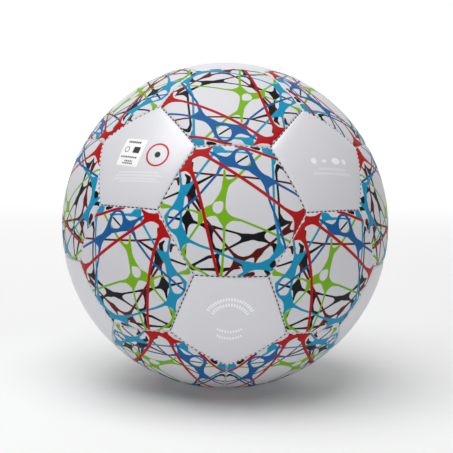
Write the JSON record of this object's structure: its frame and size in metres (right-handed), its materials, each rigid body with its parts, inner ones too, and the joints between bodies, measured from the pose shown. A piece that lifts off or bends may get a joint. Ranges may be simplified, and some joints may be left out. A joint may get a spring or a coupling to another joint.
{
  "type": "soccer ball",
  "caption": "Stitched soccer ball of plain silver-white pentagon panels and hexagon panels printed with a web of coloured strands, with a bladder and a pull-out valve core.",
  "frame": {"origin": "centre of the ball", "axes": "+Z out through the valve, -Y to the front, where one hexagon panel looks out just above the middle"},
  "size_m": [0.2194, 0.2196, 0.2197],
  "materials": {
    "silver_cover": "smooth silver-white synthetic leather, satin, with a very fine grain",
    "printed_cover": "white synthetic leather printed in red, blue, teal, green, black and dark red, satin",
    "thread": "waxed polyester sewing thread",
    "bladder_rubber": "thin black butyl rubber",
    "patch_cloth": "woven reinforcing cloth, bonded",
    "valve_rubber": "moulded dark grey rubber",
    "core_rubber": "moulded black rubber"
  },
  "bodies": {
    "ball": {"pentagon_panel_01": "silver_cover", "pentagon_panel_02": "silver_cover", "pentagon_panel_03": "silver_cover", "pentagon_panel_04": "silver_cover", "pentagon_panel_05": "silver_cover", "pentagon_panel_06": "silver_cover", "pentagon_panel_07": "silver_cover", "pentagon_panel_08": "silver_cover", "pentagon_panel_09": "silver_cover", "pentagon_panel_10": "silver_cover", "pentagon_panel_11": "silver_cover", "pentagon_panel_12": "silver_cover", "hexagon_panel_01": "printed_cover", "hexagon_panel_02": "printed_cover", "hexagon_panel_03": "printed_cover", "hexagon_panel_04": "printed_cover", "hexagon_panel_05": "printed_cover", "hexagon_panel_06": "printed_cover", "hexagon_panel_07": "printed_cover", "hexagon_panel_08": "printed_cover", "hexagon_panel_09": "printed_cover", "hexagon_panel_10": "printed_cover", "hexagon_panel_11": "printed_cover", "hexagon_panel_12": "printed_cover", "hexagon_panel_13": "printed_cover", "hexagon_panel_14": "printed_cover", "hexagon_panel_15": "printed_cover", "hexagon_panel_16": "printed_cover", "hexagon_panel_17": "printed_cover", "hexagon_panel_18": "printed_cover", "hexagon_panel_19": "printed_cover", "hexagon_panel_20": "printed_cover", "stitching_01": "thread", "stitching_02": "thread", "stitching_03": "thread", "stitching_04": "thread", "stitching_05": "thread", "stitching_06": "thread", "stitching_07": "thread", "stitching_08": "thread", "stitching_09": "thread", "stitching_10": "thread", "stitching_11": "thread", "stitching_12": "thread", "bladder": "bladder_rubber", "valve_patch": "patch_cloth", "valve_housing": "valve_rubber"},
    "plug": {"valve_core": "core_rubber"}
  },
  "joints": [
    {"name": "core_pull", "type": "slide", "parent": "ball", "child": "plug", "axis": [0, 0, 1], "range_m": [0, 0.022]}
  ]
}
